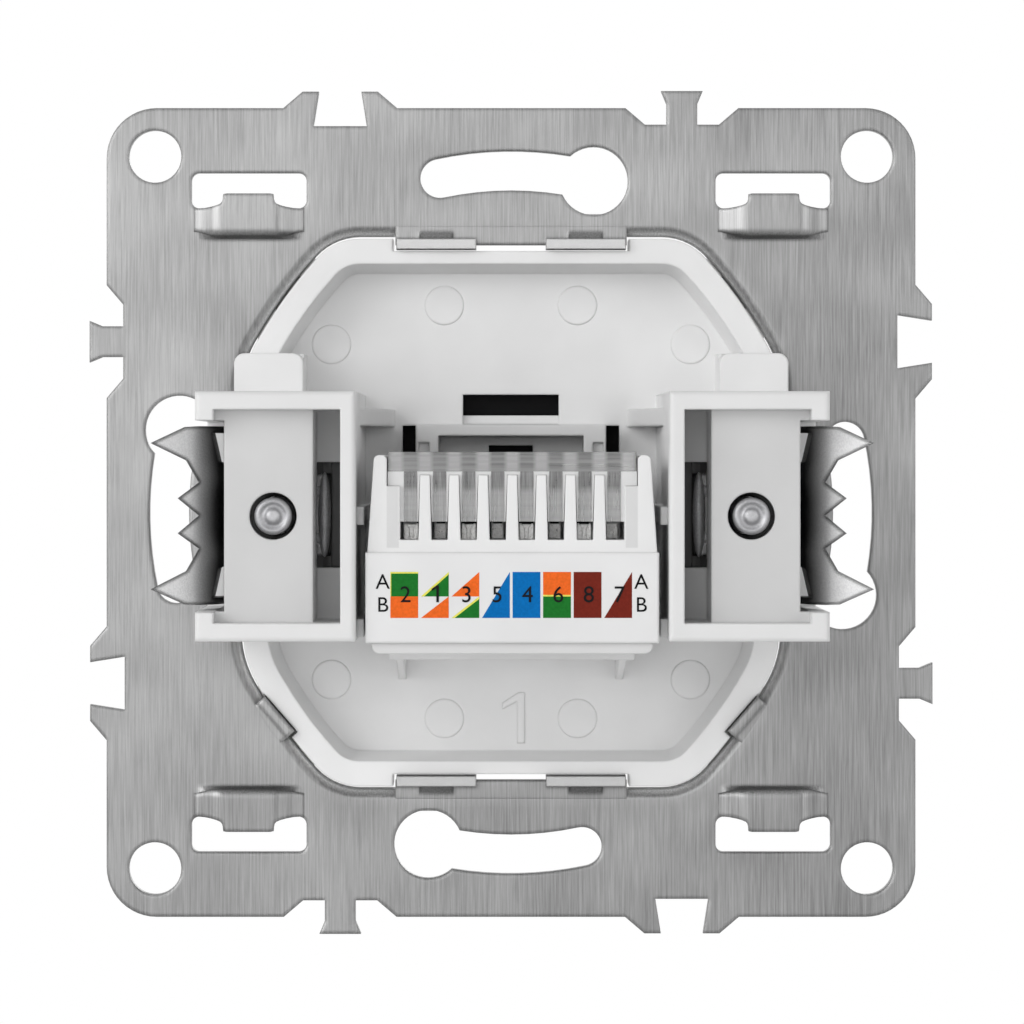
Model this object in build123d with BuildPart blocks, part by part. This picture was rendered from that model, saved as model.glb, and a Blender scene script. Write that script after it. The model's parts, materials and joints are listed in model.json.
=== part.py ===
from build123d import *
import os

# Flush-mounted network socket on a stamped steel support frame, with screw-driven box claws.
# X is right and Z is up when the socket is seen from behind. Y points into the room.
# The origin is the middle of the support frame, on the face that lies on the wall.

os.makedirs("parts", exist_ok=True)

# Support frame
frame_size = 71.0
frame_thickness = 1.0
frame_corner_radius = 4.4
collar_wall = 1.0
collar_depth = 3.0
collar_roll = 1.3
collar_gap = 0.3
box_screw_circle = 60.0
arc_slot_width = 3.45
arc_slot_plain_angle = 12.0
arc_slot_key_angle = 14.0
key_hole_diameter = 6.0
corner_hole_diameter = 4.6
corner_hole_margin = 4.25

# Dovetails that line up neighbouring frames, one socket and one tail on each edge
dovetail_offset = 15.0
socket_horn_height = 1.45
socket_horn_foot = 5.0
socket_horn_tip = 3.3
socket_mouth = 1.85
socket_floor = 2.33
socket_depth = 1.58
tail_reach = 1.5
tail_head = 1.83
tail_neck = 1.35
tail_neck_reach = 0.35
recess_depth = 1.45
recess_mouth = 4.95
recess_floor = 3.25

# Hook slots with a pressed bridge, for the decorative frame
hook_x = 23.0
hook_slot_width = 10.1
hook_slot_height = 3.1
hook_slot_z = 28.25
hook_slot_radius = 0.7
bridge_foot = 4.5
bridge_top = 2.45
bridge_rise = 1.2
bridge_inner_z = 24.6
bridge_outer_z = 26.7
bridge_lance_z = 24.0
bridge_foot_overlap = 0.5
bridge_bend_radius = 0.7
tongue_tip_z = 27.9
tongue_half_width = 2.2

# Tabs of the frame that grip the housing's rim
grip_tab_x = 6.55
grip_tab_width = 7.0
grip_tab_rise = 1.2
grip_tab_thickness = 0.95
grip_strip_setback = 0.4
grip_strip_side_gap = 0.2
grip_dart_half_width = 1.5
grip_dart_size = 0.7
corner_tab_width = 4.0
corner_tab_angle = 41.0
corner_tab_distance = 27.3
corner_tab_thickness = 0.9
corner_tab_root = 2.0
corner_tab_clearance = 0.12

# Housing
rim_width = 47.0
rim_height = 48.0
rim_corner_x = 15.4
rim_corner_z = 12.65
rim_bow_radius = 40.0
rim_side_radius = 9.0
rim_end_radius = 5.0
rim_rear = -0.6
rim_ledge = 2.2
floor_rear = 4.0
floor_thickness = 1.5
basin_draft = 8.0
rim_notch_half_width = 10.35
rim_notch_depth = 1.07

# Claw towers
tower_inner_x = 12.9
tower_outer_x = 26.1
tower_half_height = 10.3
tower_wall = 1.5
tower_side_wall = 1.25
tower_rear = -27.0
tower_plate_gap = 0.1
tower_edge_radius = 0.4
slab_rear = -24.9
slab_thickness = 2.0
slab_inner_x = 17.1
slab_notch = 0.8
slab_hole_radius = 1.95
pocket_wall = 0.65
pocket_rear = -16.6
pocket_thickness = 2.6
pocket_window_half = 4.45
claw_cut_half = 7.9
claw_cut_front = -9.4
deck_rear = -8.0
deck_thickness = 1.5
access_inner_x = 15.4
access_outer_x = 22.6
access_half_height = 8.0
nut_rib_width = 1.2
nut_rib_front = -15.3
nut_rib_outer_x = 22.4
lug_inner_x = 18.1
lug_outer_x = 24.1
lug_height = 3.6
lug_rear = -4.0
lug_foot_rear = -1.0
lug_corner_radius = 0.9

# Claw, its screw and its nut
screw_x = 19.75
screw_radius = 1.55
screw_clearance = 0.08
screw_tip_rear = -25.3
screw_boss_foot = 0.85
screw_boss_top = 0.45
screw_boss_height = 0.1
screw_groove_depth = 0.3
screw_tip_edge = 0.3
screw_head_radius = 2.75
screw_head_height = 2.0
screw_head_gap = 0.05
screw_head_edge = 0.6
screw_recess_length = 3.4
screw_recess_width = 0.7
screw_recess_depth = 1.2
nut_width = 4.9
nut_height = 1.8
nut_clearance = 0.1
nut_bore_clearance = 0.05
claw_thickness = 1.5
claw_pivot_x = 16.1
claw_pivot_y = -14.0
claw_half_width = 7.45
claw_nose_half = 3.5
claw_neck_half = 2.6
claw_neck_x = 17.9
claw_slot_inner_x = 16.9
claw_slot_outer_x = 22.1
claw_slot_clearance = 0.1
claw_ridge_radius = 1.1
claw_ridge_gap = 0.05
claw_ridge_inset = 0.15
claw_bend_x = 24.2
claw_wall_top = (25.4, -19.6)
claw_tip = (30.4, -24.9)
claw_bend_radius = 1.9
claw_root_x = 26.1
claw_small_tooth = (27.75, 1.455)
claw_small_root_z = 2.75
claw_big_tooth = (29.85, 6.03)
claw_big_heel = (27.1, 4.6)
claw_big_shoulder = (27.2, 7.38)
claw_notch = ((25.1, 6.9), (23.4, 6.9), (23.4, 3.8), (24.6, 4.5))
seat_clearance = 0.05
seat_outer_offset = 0.1
seat_depth = 2.4
seat_half_width = 5.2

# Wire block with its insulation-displacement contacts
wire_pitch = 2.4
wire_count = 8
block_half_width = 12.1
block_rear = -26.0
block_front = -8.2
block_bottom = -10.45
block_face_top = -3.0
block_step = 0.4
well_floor = -1.95
post_top = 5.05
post_foot_half = 11.95
post_top_half = 11.4
post_inner_half = 10.35
post_top_radius = 0.45
well_front = -10.6
divider_foot = 1.07
divider_top = 0.8
divider_top_z = 3.4
end_divider_top_z = 2.5
end_divider_inner = 9.35
lip_drop = 0.9
lip_setback = 0.5
lip_front = -8.1
lip_radius = 0.7
board_slot_clearance = 0.06
label_thickness = 0.12
label_margin = 0.12
contact_thickness = 0.4
contact_width = 1.2
contact_top = -0.65
contact_slit = 0.3
contact_slit_depth = 4.5
contact_mouth = 0.8
contact_mouth_depth = 0.7
contact_pin = 0.5
contact_row_rear = -21.5
contact_row_front = -16.0
contact_clearance = 0.06

# Clear cap that pushes the wires into the contacts
cap_side_clearance = 0.1
cap_bar_bottom = 3.7
cap_bar_top = 5.3
cap_setback = 0.35
cap_finger_width = 1.1
cap_finger_bottom = -0.45

# Circuit board
board_half_width = 8.2
board_wide_half = 9.4
board_shoulder_y = -8.6
board_top = -8.6
board_thickness = 1.6
board_rear = -24.0
board_front = 5.2
board_hole_width = 0.84

# Modular jack
jack_half_width = 7.9
jack_top = 4.9
jack_rear = -7.5
jack_front = 8.2
jack_gap = 0.05
port_width = 11.75
port_height = 6.6
port_floor = -5.6
port_depth = 13.2
latch_width = 6.4
latch_height = 2.1
latch_depth = 10.0
flange_half_width = 10.4
flange_bottom = -11.5
flange_top = 11.2
flange_thickness = 1.4
flange_gap = 0.1
spring_pitch = 1.02
spring_count = 8
spring_wire = 0.42
spring_slot_width = 0.6
spring_run_z = -6.7
spring_rear_y = -5.2
spring_pin_step = 1.8
spring_pin_reach = 0.4
spring_front_y = 6.1
spring_tip = (-1.2, -3.7)
spring_bend = 0.5
spring_slot_depth = 1.7

# Front cover
cover_size = 45.0
cover_front = 10.0
cover_wall = 1.6
cover_corner_radius = 1.6
cover_edge_chamfer = 0.6
cover_gap = 0.1
cover_port_margin = 0.15
cover_leg_half = 3.0
cover_leg_rear = -2.5
cover_leg_clearance = 0.2
cover_leg_thickness = 1.25

# Openings in the housing floor round the jack
window_half_width = 4.25
window_bottom = 7.8
window_top = 10.4
window_step_z = 8.55
window_step_depth = 0.6
well_half_width = 8.35
well_bottom = -10.75
well_top = 5.15
well_frame_top = 7.7
well_bar = 0.95
well_frame_rise = 2.6
well_recess_half = 6.4
well_recess_rear = 4.9
well_notch_half = 1.95
well_notch_top = 5.9
corner_notch_x = (7.2, 8.15)
corner_notch_top = 6.15
side_slot_inner = 8.45
side_slot_outer = 9.6
side_slot_top = 7.65
shelf_half_width = 10.6
shelf_top = -11.5
shelf_thickness = 1.1
shelf_rear = -8.0
gusset_x = 9.6
gusset_thickness = 0.65
gusset_foot = -14.8
side_rib_thickness = 0.6
side_rib_half = 0.75
side_rib_rear = -23.5
side_rib_z = (0.0, -9.3)
top_rib_z = 8.3
top_rib_reach = 2.6
top_rib_rear = -14.0

# Worked-out sizes
frame_front = frame_thickness
housing_front = floor_rear + floor_thickness
half_frame = frame_size / 2
corner_hole_spacing = frame_size - 2 * corner_hole_margin
half_thickness = frame_thickness / 2
jack_bottom = board_top + jack_gap
board_bottom = board_top - board_thickness
port_top = port_floor + port_height
slab_front = slab_rear + slab_thickness
rim_half_height = rim_height / 2
notch_floor_z = rim_half_height - rim_notch_depth
claw_half_thickness = claw_thickness / 2
nut_front = claw_pivot_y - claw_half_thickness - claw_ridge_radius - claw_ridge_gap
through = 200.0
overlap = 0.1


def level(y):
    """Plane across the socket at depth y, seen from behind, with its normal to the rear."""
    return Plane.XZ.offset(-y)


def block(x, y, z, mode=Mode.ADD):
    """Box between two corners, each argument a (low, high) pair."""
    sizes = [high - low for low, high in (x, y, z)]
    with Locations(((x[0] + x[1]) / 2, (y[0] + y[1]) / 2, (z[0] + z[1]) / 2)):
        Box(*sizes, mode=mode)


def span(sign, near, far):
    """Low and high coordinate of a stretch on the negative or positive side."""
    return tuple(sorted((sign * near, sign * far)))


def rim_shape(grow):
    """Outline of the rim, grown by a distance: a rectangle whose corners are bowed diagonals."""
    with BuildSketch() as outline:
        with BuildLine():
            Line((0, rim_height / 2), (rim_corner_x, rim_height / 2))
            RadiusArc(
                (rim_corner_x, rim_height / 2), (rim_width / 2, rim_corner_z), rim_bow_radius
            )
            Line((rim_width / 2, rim_corner_z), (rim_width / 2, 0))
            mirror(about=Plane.XZ)
            mirror(about=Plane.YZ)
        make_face()
        side_corners = outline.vertices().group_by(Axis.X)
        fillet(side_corners[0] + side_corners[-1], rim_side_radius)
        end_corners = outline.vertices().group_by(Axis.Y)
        fillet(end_corners[0] + end_corners[-1], rim_end_radius)
        if grow:
            offset(amount=grow)
    return outline.sketch


def corner_plane(side):
    """Plane through the middle, facing the lower corner tab on one side."""
    return Plane(
        origin=(0, 0, 0), x_dir=(0, 1, 0),
        z_dir=Vector(side, 0, 0).rotate(Axis.Y, side * corner_tab_angle),
    )


def finish(part, name):
    """Label a finished piece and write its file."""
    part.label = name
    export_step(part, f"parts/{name}.step")


rim_outline = rim_shape(0)
collar_outline = rim_shape(collar_gap)
collar_wall_outline = rim_shape(collar_gap + collar_wall)
plate_outline = rim_shape(collar_gap + collar_roll + 2 * overlap)
basin_outline = rim_shape(-rim_ledge)


# Drawn collar round the housing, with a rolled rear edge
with BuildPart() as collar:
    with BuildSketch(level(0)):
        add(plate_outline)
        add(collar_outline, mode=Mode.SUBTRACT)
    extrude(amount=-collar_depth)
    chamfer(collar.faces().sort_by(Axis.Y)[0].inner_wires()[0].edges(), collar_roll)
    with BuildSketch(level(frame_front)):
        add(plate_outline)
        add(collar_wall_outline, mode=Mode.SUBTRACT)
    extrude(amount=-(collar_depth - frame_front), mode=Mode.SUBTRACT)


# Support frame: one stamped sheet
with BuildPart() as support_frame:
    with BuildSketch(level(0)) as sheet:
        RectangleRounded(frame_size, frame_size, frame_corner_radius)
        edge = half_frame
        with PolarLocations(0, 4):
            with Locations((dovetail_offset, edge)):
                Polygon(
                    (-recess_mouth, 0), (-recess_mouth, tail_reach), (recess_mouth, tail_reach),
                    (recess_mouth, 0), (recess_floor, -recess_depth), (-recess_floor, -recess_depth),
                    align=None, mode=Mode.SUBTRACT,
                )
                Polygon(
                    (-tail_neck, -recess_depth - tail_reach), (-tail_neck, tail_neck_reach),
                    (-tail_head, tail_reach), (tail_head, tail_reach),
                    (tail_neck, tail_neck_reach), (tail_neck, -recess_depth - tail_reach),
                    align=None,
                )
            with Locations((-dovetail_offset, edge)):
                Polygon(
                    (-socket_horn_foot, -socket_depth), (-socket_horn_foot, 0),
                    (-socket_horn_tip, socket_horn_height), (socket_horn_tip, socket_horn_height),
                    (socket_horn_foot, 0), (socket_horn_foot, -socket_depth), align=None,
                )
                Polygon(
                    (-socket_mouth, socket_horn_height), (-socket_floor, -socket_depth),
                    (socket_floor, -socket_depth), (socket_mouth, socket_horn_height),
                    align=None, mode=Mode.SUBTRACT,
                )
        with BuildLine(mode=Mode.PRIVATE) as slot_path:
            CenterArc(
                (0, 0), box_screw_circle / 2, 90 - arc_slot_key_angle,
                arc_slot_key_angle + arc_slot_plain_angle,
            )
        with PolarLocations(0, 4):
            SlotArc(slot_path.edge(), arc_slot_width, mode=Mode.SUBTRACT)
        with PolarLocations(box_screw_circle / 2, 4, start_angle=90 - arc_slot_key_angle):
            Circle(key_hole_diameter / 2, mode=Mode.SUBTRACT)
        with GridLocations(corner_hole_spacing, corner_hole_spacing, 2, 2):
            Circle(corner_hole_diameter / 2, mode=Mode.SUBTRACT)
        with GridLocations(2 * hook_x, 2 * hook_slot_z, 2, 2):
            RectangleRounded(
                hook_slot_width, hook_slot_height, hook_slot_radius, mode=Mode.SUBTRACT
            )
        with GridLocations(2 * hook_x, bridge_lance_z + hook_slot_z, 2, 2):
            Rectangle(2 * bridge_foot, hook_slot_z - bridge_lance_z, mode=Mode.SUBTRACT)
        add(plate_outline, mode=Mode.SUBTRACT)
    extrude(amount=-frame_thickness)

    add(collar.part)

    # Straight strips and bent tabs that reach into the rim's notches
    for end in (-1, 1):
        strip_z = notch_floor_z + grip_tab_thickness - grip_strip_setback
        strip_half = rim_notch_half_width - grip_strip_side_gap
        block(
            (-strip_half, strip_half), (0, frame_thickness),
            span(end, strip_z, rim_half_height + collar_roll),
        )
        for side in (-1, 1):
            tab_x = (side * grip_tab_x - grip_tab_width / 2, side * grip_tab_x + grip_tab_width / 2)
            tab_inner = notch_floor_z + corner_tab_clearance
            block(
                tab_x, (-grip_tab_rise, frame_thickness),
                span(end, tab_inner, tab_inner + grip_tab_thickness),
            )
            dart_z = tab_inner + grip_tab_thickness
            with BuildSketch(Plane.YZ.offset(side * grip_tab_x)):
                Polygon(
                    (overlap, end * (dart_z - overlap)), (-grip_dart_size, end * (dart_z - overlap)),
                    (-grip_dart_size, end * dart_z), (0, end * (dart_z + grip_dart_size)),
                    (overlap, end * (dart_z + grip_dart_size)), align=None,
                )
            extrude(amount=grip_dart_half_width, both=True)

    # Corner tabs, on the lower side only
    for side in (-1, 1):
        with BuildSketch(corner_plane(side).offset(corner_tab_distance - corner_tab_thickness / 2)):
            with Locations(((frame_thickness - grip_tab_rise) / 2, 0)):
                Rectangle(frame_thickness + grip_tab_rise, corner_tab_width)
        extrude(amount=corner_tab_thickness)
        with BuildSketch(corner_plane(side).offset(corner_tab_distance)):
            with Locations((frame_thickness / 2, 0)):
                Rectangle(frame_thickness, corner_tab_width)
        extrude(amount=corner_tab_root)

    # Pressed bridges beside the hook slots, closed by a steep wall on their inner side
    for end in (-1, 1):
        for side in (-1, 1):
            with BuildSketch(Plane.XY.offset(end * bridge_inner_z)):
                with BuildLine():
                    FilletPolyline(
                        (side * hook_x - bridge_foot - bridge_foot_overlap, half_thickness),
                        (side * hook_x - bridge_foot, half_thickness),
                        (side * hook_x - bridge_top, half_thickness - bridge_rise),
                        (side * hook_x + bridge_top, half_thickness - bridge_rise),
                        (side * hook_x + bridge_foot, half_thickness),
                        (side * hook_x + bridge_foot + bridge_foot_overlap, half_thickness),
                        radius=bridge_bend_radius,
                    )
                trace(line_width=frame_thickness)
            extrude(amount=end * (bridge_outer_z - bridge_inner_z))
            for z, rise in ((bridge_inner_z, bridge_rise), (bridge_lance_z, overlap)):
                with BuildSketch(Plane.XY.offset(end * z)):
                    Polygon(
                        (side * hook_x - bridge_foot, frame_thickness),
                        (side * hook_x - bridge_foot, 0), (side * hook_x - bridge_top, -rise),
                        (side * hook_x + bridge_top, -rise), (side * hook_x + bridge_foot, 0),
                        (side * hook_x + bridge_foot, frame_thickness), align=None,
                    )
            loft(ruled=True)
            block(
                (side * hook_x - tongue_half_width, side * hook_x + tongue_half_width),
                (-bridge_rise, frame_thickness - bridge_rise),
                span(end, bridge_outer_z - bridge_foot_overlap, tongue_tip_z),
            )
finish(support_frame.part, "support_frame")


# Housing: rim, dished floor and two claw towers in one moulding
with BuildPart() as housing:
    with BuildSketch(level(rim_rear)):
        add(rim_outline)
    extrude(amount=-(housing_front - rim_rear))
    with BuildSketch(level(rim_rear)):
        add(basin_outline)
    extrude(amount=-(floor_rear - rim_rear), taper=basin_draft, mode=Mode.SUBTRACT)
    for end in (-1, 1):
        block(
            (-rim_notch_half_width, rim_notch_half_width), (rim_rear, housing_front),
            span(end, notch_floor_z, rim_height), mode=Mode.SUBTRACT,
        )
    for side in (-1, 1):
        notch_distance = corner_tab_distance - corner_tab_thickness / 2 - corner_tab_clearance
        with BuildSketch(corner_plane(side).offset(notch_distance)):
            Rectangle(through, corner_tab_width + 4 * corner_tab_clearance)
        extrude(amount=frame_size, mode=Mode.SUBTRACT)

    # Tower shells
    for side in (-1, 1):
        foot = span(side, tower_inner_x, rim_width / 2)
        full = span(side, tower_inner_x, tower_outer_x)
        height = (-tower_half_height, tower_half_height)
        block(foot, (lug_foot_rear, housing_front), height)
        with BuildSketch(level(-tower_plate_gap)):
            with Locations(((full[0] + full[1]) / 2, 0)):
                Rectangle(full[1] - full[0], 2 * tower_half_height)
        extrude(amount=-tower_plate_gap - tower_rear)
    rear_rim = housing.faces().sort_by(Axis.Y)[0:2].edges()
    fillet(rear_rim, tower_edge_radius)

    for side in (-1, 1):
        inside_x = (tower_inner_x + tower_side_wall, tower_outer_x - tower_wall)
        inside_z = tower_half_height - tower_wall
        height = (-inside_z, inside_z)
        # Rear recess above the slab, then the open space below it
        block(span(side, *inside_x), (tower_rear, slab_rear), height, mode=Mode.SUBTRACT)
        block(
            span(side, inside_x[0], slab_inner_x - pocket_wall),
            (tower_rear, pocket_rear), height, mode=Mode.SUBTRACT,
        )
        block(
            span(side, slab_inner_x, inside_x[1]), (slab_front, deck_rear), height,
            mode=Mode.SUBTRACT,
        )
        block(
            span(side, inside_x[0], slab_inner_x + overlap),
            (pocket_rear + pocket_thickness, deck_rear), height, mode=Mode.SUBTRACT,
        )
        # Window for the claw's nose, and the cut in the outer wall for the claw
        block(
            span(side, inside_x[0], slab_inner_x + overlap), (pocket_rear, deck_rear),
            (-pocket_window_half, pocket_window_half), mode=Mode.SUBTRACT,
        )
        block(
            span(side, inside_x[1] - slab_notch, tower_outer_x), (tower_rear, claw_cut_front),
            (-claw_cut_half, claw_cut_half), mode=Mode.SUBTRACT,
        )
        # Ribs that stop the nut from turning
        for end in (-1, 1):
            rib_near = nut_width / 2 + nut_clearance
            block(
                span(side, slab_inner_x - pocket_wall, nut_rib_outer_x),
                (slab_front, nut_rib_front),
                span(end, rib_near, rib_near + nut_rib_width),
            )
        # Seat for the claw's nose
        block(
            span(side, inside_x[0], claw_pivot_x - seat_outer_offset),
            (claw_pivot_y, claw_pivot_y + seat_depth), (-seat_half_width, seat_half_width),
        )
        with BuildSketch(Plane.XY):
            with Locations((side * claw_pivot_x, claw_pivot_y)):
                Circle(claw_half_thickness + seat_clearance)
        extrude(amount=pocket_window_half, both=True, mode=Mode.SUBTRACT)
        # Access to the screw from the room, and the screw's holes
        block(
            span(side, access_inner_x, access_outer_x),
            (deck_rear + deck_thickness, housing_front),
            (-access_half_height, access_half_height), mode=Mode.SUBTRACT,
        )
        with BuildSketch(level(tower_rear)):
            with Locations((side * screw_x, 0)):
                Circle(slab_hole_radius)
        extrude(amount=-(slab_front - tower_rear), mode=Mode.SUBTRACT)
        with BuildSketch(level(deck_rear)):
            with Locations((side * screw_x, 0)):
                Circle(screw_radius + screw_clearance)
        extrude(amount=-deck_thickness, mode=Mode.SUBTRACT)
        # Lug over the frame's edge, above the tower
        with BuildSketch(level(lug_rear)):
            lug_middle = (side * (lug_inner_x + lug_outer_x) / 2, tower_half_height + lug_height / 2)
            with Locations(lug_middle):
                Rectangle(lug_outer_x - lug_inner_x, lug_height)
            fillet(vertices().group_by(Axis.Y)[-1], lug_corner_radius)
        extrude(amount=-(-tower_plate_gap - lug_rear))
        block(
            span(side, lug_inner_x, rim_width / 2 - rim_ledge), (lug_foot_rear, floor_rear),
            (tower_half_height, tower_half_height + lug_height),
        )
        # Ribs between the tower and the wire block
        for rib_z in side_rib_z:
            block(
                span(side, tower_inner_x - side_rib_thickness, tower_inner_x),
                (side_rib_rear, floor_rear), (rib_z - side_rib_half, rib_z + side_rib_half),
            )
        with BuildSketch(Plane.XY.offset(top_rib_z - side_rib_half)):
            Polygon(
                (side * tower_inner_x, top_rib_rear), (side * (tower_inner_x - top_rib_reach), floor_rear),
                (side * tower_inner_x, floor_rear), align=None,
            )
        extrude(amount=2 * side_rib_half)

    # Raised frame, recess and openings round the jack
    block(
        (-well_half_width, well_half_width), (floor_rear - well_frame_rise, floor_rear),
        (well_top, well_frame_top),
    )
    block(
        (-well_recess_half, well_recess_half), (floor_rear - well_frame_rise, well_recess_rear),
        (well_top, well_frame_top - well_bar), mode=Mode.SUBTRACT,
    )
    block(
        (-well_half_width, well_half_width), (floor_rear - well_frame_rise, housing_front),
        (well_bottom, well_top), mode=Mode.SUBTRACT,
    )
    block(
        (-well_notch_half, well_notch_half), (floor_rear, housing_front),
        (well_top, well_notch_top), mode=Mode.SUBTRACT,
    )
    block(
        (-window_half_width, window_half_width), (floor_rear, housing_front),
        (window_step_z, window_top), mode=Mode.SUBTRACT,
    )
    block(
        (-window_half_width, window_half_width), (floor_rear, floor_rear + window_step_depth),
        (window_bottom, window_step_z), mode=Mode.SUBTRACT,
    )
    for side in (-1, 1):
        block(
            span(side, side_slot_inner, side_slot_outer), (floor_rear, housing_front),
            (well_top, side_slot_top), mode=Mode.SUBTRACT,
        )
        block(
            span(side, *corner_notch_x), (floor_rear - well_frame_rise, floor_rear),
            (well_top, corner_notch_top), mode=Mode.SUBTRACT,
        )

    # Shelf under the wire block, on two gussets
    block(
        (-shelf_half_width, shelf_half_width), (shelf_rear, floor_rear),
        (shelf_top - shelf_thickness, shelf_top),
    )
    for side in (-1, 1):
        with BuildSketch(Plane.YZ.offset(side * gusset_x)):
            Polygon(
                (floor_rear, shelf_top - shelf_thickness), (shelf_rear, shelf_top - shelf_thickness),
                (floor_rear, gusset_foot), align=None,
            )
        extrude(amount=gusset_thickness / 2, both=True)
finish(housing.part, "housing")


# Screw on the Y axis, with a groove and a low boss on its tip
head_rear = deck_rear + deck_thickness + screw_head_gap
head_front = head_rear + screw_head_height
with BuildPart() as screw:
    with BuildSketch(Plane.XY):
        with BuildLine():
            Polyline(
                (0, head_front), (screw_head_radius - screw_head_edge, head_front),
                (screw_head_radius, head_front - screw_head_edge), (screw_head_radius, head_rear),
                (screw_radius, head_rear), (screw_radius, screw_tip_rear + screw_tip_edge),
                (screw_radius - screw_tip_edge, screw_tip_rear),
                (screw_boss_foot, screw_tip_rear + screw_groove_depth),
                (screw_boss_top, screw_tip_rear - screw_boss_height),
                (0, screw_tip_rear - screw_boss_height), close=True,
            )
        make_face()
    revolve(axis=Axis.Y)
    with BuildSketch(level(head_front)):
        Rectangle(screw_recess_length, screw_recess_width)
        Rectangle(screw_recess_width, screw_recess_length)
    extrude(amount=screw_recess_depth, mode=Mode.SUBTRACT)


# Claws with their screws and nuts
for side, side_name in ((-1, "left"), (1, "right")):
    with BuildPart() as claw:
        with BuildSketch(Plane.XY) as section:
            with BuildLine() as centre_line:
                FilletPolyline(
                    (claw_pivot_x, claw_pivot_y), (claw_bend_x, claw_pivot_y),
                    claw_wall_top, claw_tip, radius=claw_bend_radius,
                )
            trace(line_width=claw_thickness)
            with Locations((claw_pivot_x, claw_pivot_y)):
                Circle(claw_half_thickness)
        extrude(amount=claw_half_width, both=True)
        # Flat outline with a narrow neck inside and four teeth outside
        with BuildSketch(level(0)):
            Polygon(
                (claw_neck_x, -claw_half_width), (claw_neck_x, claw_half_width),
                (claw_root_x, claw_half_width), claw_big_shoulder, claw_big_tooth, claw_big_heel,
                (claw_root_x, claw_small_root_z), claw_small_tooth, (claw_root_x, 0),
                (claw_small_tooth[0], -claw_small_tooth[1]), (claw_root_x, -claw_small_root_z),
                (claw_big_heel[0], -claw_big_heel[1]), (claw_big_tooth[0], -claw_big_tooth[1]),
                (claw_big_shoulder[0], -claw_big_shoulder[1]), (claw_root_x, -claw_half_width),
                align=None,
            )
            with Locations(((claw_pivot_x + claw_neck_x) / 2, 0)):
                Rectangle(claw_neck_x - claw_pivot_x + 2 * overlap, 2 * claw_neck_half)
            with Locations((claw_pivot_x, 0)):
                Rectangle(claw_thickness, 2 * claw_nose_half)
        extrude(amount=through, both=True, mode=Mode.INTERSECT)
        with BuildSketch(level(0)):
            with Locations(((claw_slot_inner_x + claw_slot_outer_x) / 2, 0)):
                SlotOverall(
                    claw_slot_outer_x - claw_slot_inner_x,
                    2 * (screw_radius + claw_slot_clearance),
                )
        extrude(amount=through, both=True, mode=Mode.SUBTRACT)
        with BuildSketch(level(0)):
            Polygon(*claw_notch, align=None)
            Polygon(*[(x, -z) for x, z in claw_notch], align=None)
        extrude(amount=through, both=True, mode=Mode.SUBTRACT)
        # Ridges that the nut bears on
        for end in (-1, 1):
            ridge_start = screw_radius + claw_slot_clearance + claw_ridge_inset
            with BuildSketch(Plane.XY.offset(end * ridge_start)):
                with Locations((screw_x, claw_pivot_y - claw_half_thickness)):
                    Circle(claw_ridge_radius)
                with Locations((screw_x, claw_pivot_y + claw_half_thickness)):
                    Rectangle(
                        4 * claw_ridge_radius, 2 * claw_thickness, mode=Mode.SUBTRACT
                    )
            extrude(amount=end * (nut_width / 2 - ridge_start))
        if side < 0:
            mirror(about=Plane.YZ, mode=Mode.REPLACE)
    finish(claw.part, f"claw_{side_name}")

    finish(Pos(side * screw_x, 0, 0) * screw.part, f"claw_screw_{side_name}")

    with BuildPart() as nut:
        with BuildSketch(level(nut_front)):
            with Locations((side * screw_x, 0)):
                Rectangle(nut_width, nut_width)
                Circle(screw_radius + nut_bore_clearance, mode=Mode.SUBTRACT)
        extrude(amount=nut_height)
    finish(nut.part, f"claw_nut_{side_name}")


# Wire block: label face, posts, dividers and contact slots
wire_x = [wire_pitch * (index - (wire_count - 1) / 2) for index in range(wire_count)]
divider_x = [wire_pitch * (index - (wire_count - 2) / 2) for index in range(wire_count - 1)]
contact_y = [(contact_row_rear, contact_row_front)[index % 2] for index in range(wire_count)]
post_rear = block_rear + block_step

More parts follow.
